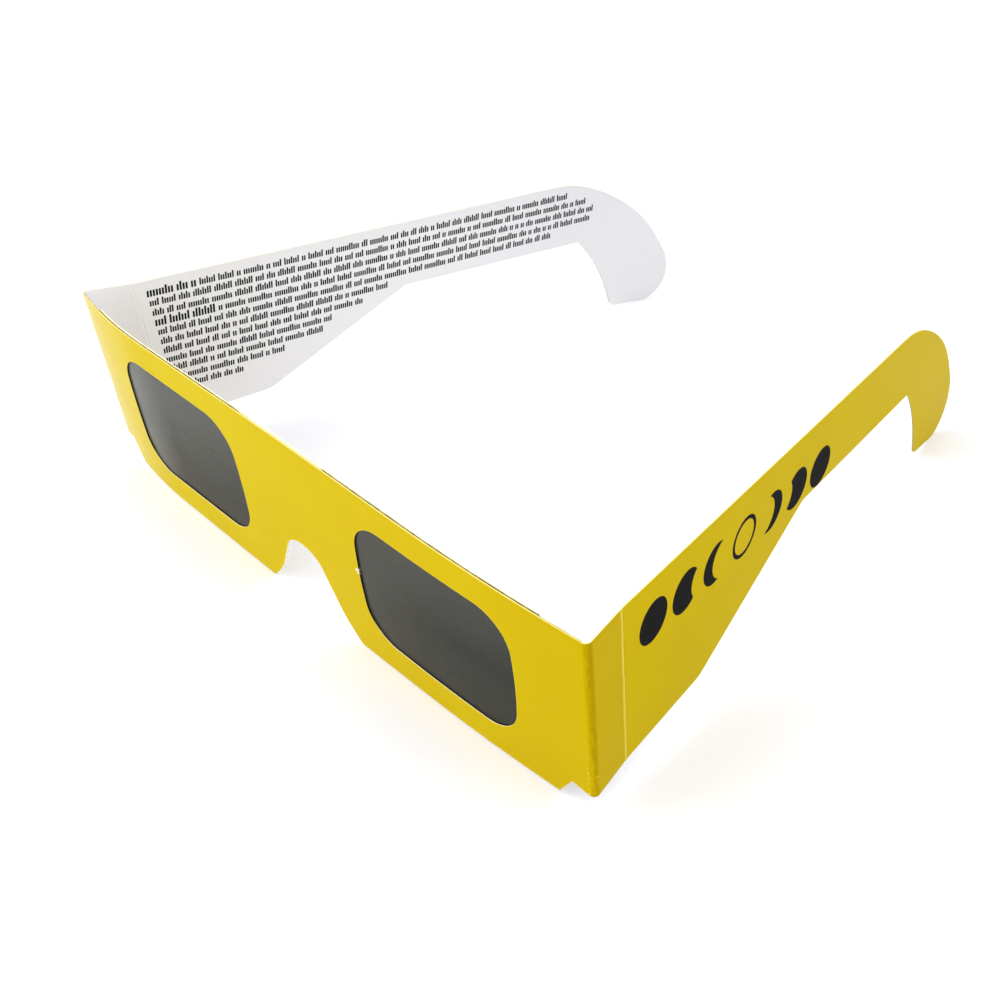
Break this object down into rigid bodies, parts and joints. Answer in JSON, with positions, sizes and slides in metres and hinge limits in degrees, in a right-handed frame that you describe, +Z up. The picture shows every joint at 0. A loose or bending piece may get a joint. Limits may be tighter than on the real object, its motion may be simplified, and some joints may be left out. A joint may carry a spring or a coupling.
{
  "type": "eclipse glasses",
  "caption": "Card viewing glasses: a bowed, folded front holding dark film behind two windows, hinged by creases to flat temples with ear hooks.",
  "frame": {"origin": "middle of the bridge on the outer face of the front, 28 mm up the leaning front from its folded bottom edge", "axes": "+Z up as it stands on a table, +Y back towards the ear hooks, +X to the wearer's left; the front faces -Y and leans forwards by 8.15 degrees"},
  "size_m": [0.1397, 0.1529, 0.0401],
  "materials": {
    "yellow_card": "yellow printed card with a slight gloss, white uncoated inside and at cut edges",
    "dark_film": "smooth dark grey polymer film",
    "dry_glue": "thin dark line of dry adhesive"
  },
  "bodies": {
    "front": {"front_ply": "yellow_card", "back_ply": "yellow_card", "front_glue": "dry_glue", "back_glue": "dry_glue", "left_bottom_fold": "yellow_card", "right_bottom_fold": "yellow_card", "left_filter": "dark_film", "right_filter": "dark_film", "left_fold": "yellow_card", "right_fold": "yellow_card"},
    "left_root_leaf": {"left_root": "yellow_card", "left_crease": "yellow_card"},
    "left_temple_leaf": {"left_temple": "yellow_card"},
    "right_root_leaf": {"right_root": "yellow_card", "right_crease": "yellow_card"},
    "right_temple_leaf": {"right_temple": "yellow_card"}
  },
  "joints": [
    {"name": "left_fold_hinge", "type": "hinge", "parent": "front", "child": "left_root_leaf", "pos_m": [0.06965, 0.00541, -0.02276], "axis": [0, -0.1418, 0.9899], "range_deg": [-99, 2.4]},
    {"name": "left_crease_hinge", "type": "hinge", "parent": "left_root_leaf", "child": "left_temple_leaf", "pos_m": [0.06763, 0.01433, -0.02149], "axis": [0, -0.1418, 0.9899], "range_deg": [-11.5, 73.5]},
    {"name": "right_fold_hinge", "type": "hinge", "parent": "front", "child": "right_root_leaf", "pos_m": [-0.06963, 0.00624, -0.02264], "axis": [0, 0.1418, -0.9899], "range_deg": [-97.2, 3]},
    {"name": "right_crease_hinge", "type": "hinge", "parent": "right_root_leaf", "child": "right_temple_leaf", "pos_m": [-0.06663, 0.01501, -0.02139], "axis": [0, 0.1418, -0.9899], "range_deg": [-5.5, 78]}
  ]
}
